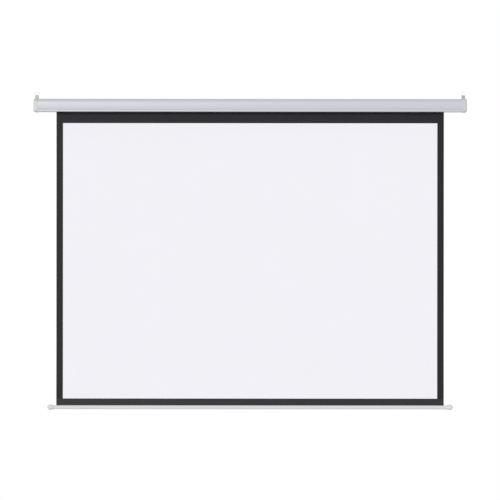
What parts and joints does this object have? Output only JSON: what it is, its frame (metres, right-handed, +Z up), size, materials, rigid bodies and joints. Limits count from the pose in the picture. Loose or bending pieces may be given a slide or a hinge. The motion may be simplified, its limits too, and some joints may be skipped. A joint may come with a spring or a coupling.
{
  "type": "pull-down projection screen",
  "caption": "Wall-hung pull-down projection screen: slim case with a spring roller, black-bordered matte white cloth, weight bar and hanging eyes.",
  "frame": {"origin": "middle of the case's flat back, where it lies on the wall", "axes": "+X along the case to the viewer's right, +Y into the wall, +Z up; the cloth hangs down in -Z"},
  "size_m": [2.343, 0.07, 1.725],
  "materials": {
    "case_paint": "satin off-white powder coat",
    "cap_plastic": "fine moulded grain",
    "zinc_steel": "zinc plated sheet",
    "white_steel": "white powder coat",
    "screw_steel": "bright zinc plate",
    "roller_aluminium": "mill finish",
    "moulded_nylon": "moulded",
    "dark_nylon": "moulded",
    "spring_steel": "oiled wire",
    "black_cloth": "matte coated glass-fibre cloth",
    "matte_white": "matte white embossed viewing surface",
    "bar_paint": "satin off-white powder coat"
  },
  "bodies": {
    "root": {"case_shell": "case_paint", "end_cap_right": "cap_plastic", "end_cap_left": "cap_plastic", "hanger_right": "zinc_steel", "hanger_left": "zinc_steel", "hanging_eye_right": "white_steel", "hanging_eye_left": "white_steel", "bracket_right": "zinc_steel", "bracket_left": "zinc_steel", "bearing_bush": "dark_nylon", "spring_arbor": "zinc_steel", "arbor_cotter": "spring_steel", "spring_collar": "zinc_steel", "torsion_spring": "spring_steel", "ratchet_disc": "zinc_steel", "cloth_drop": "black_cloth", "viewing_panel": "matte_white", "hanger_screw_right_1": "screw_steel", "cap_screw_right_1": "screw_steel", "hanger_screw_right_2": "screw_steel", "cap_screw_right_2": "screw_steel", "hanger_screw_left_1": "screw_steel", "cap_screw_left_1": "screw_steel", "hanger_screw_left_2": "screw_steel", "cap_screw_left_2": "screw_steel"},
    "roller": {"roller_tube": "roller_aluminium", "cloth_rod": "dark_nylon", "wound_leader": "black_cloth", "roller_plug_left": "moulded_nylon", "idler_pin": "zinc_steel", "idler_clip": "spring_steel", "spring_anchor": "moulded_nylon", "ratchet_housing": "moulded_nylon", "ratchet_cover": "dark_nylon", "pawl_pin_upper": "screw_steel", "pawl_pin_lower": "screw_steel"},
    "bar": {"weight_bar": "bar_paint", "cloth_hem": "black_cloth", "hem_rod": "zinc_steel", "bar_cap_right": "cap_plastic", "bar_cap_left": "cap_plastic"},
    "pawl_upper": {"pawl_upper": "zinc_steel"},
    "pawl_lower": {"pawl_lower": "zinc_steel"}
  },
  "joints": [
    {"name": "bar_slide", "type": "slide", "parent": "root", "child": "bar", "axis": [0, 0, 1], "range_m": [0, 1.583], "deforming": ["cloth_drop", "viewing_panel"]},
    {"name": "roller_spin", "type": "hinge", "parent": "root", "child": "roller", "pos_m": [0, -0.039, 0.002], "axis": [1, 0, 0], "range_deg": [0, 4140]},
    {"name": "pawl_upper_swing", "type": "hinge", "parent": "roller", "child": "pawl_upper", "pos_m": [1.1256, -0.039, 0.0156], "axis": [1, 0, 0], "range_deg": [0, 30]},
    {"name": "pawl_lower_swing", "type": "hinge", "parent": "roller", "child": "pawl_lower", "pos_m": [1.1256, -0.039, -0.0116], "axis": [1, 0, 0], "range_deg": [0, 30]}
  ],
  "couplings": [
    {"joint": "roller_spin", "follows": "bar_slide", "rad_per_m": 45.645}
  ]
}
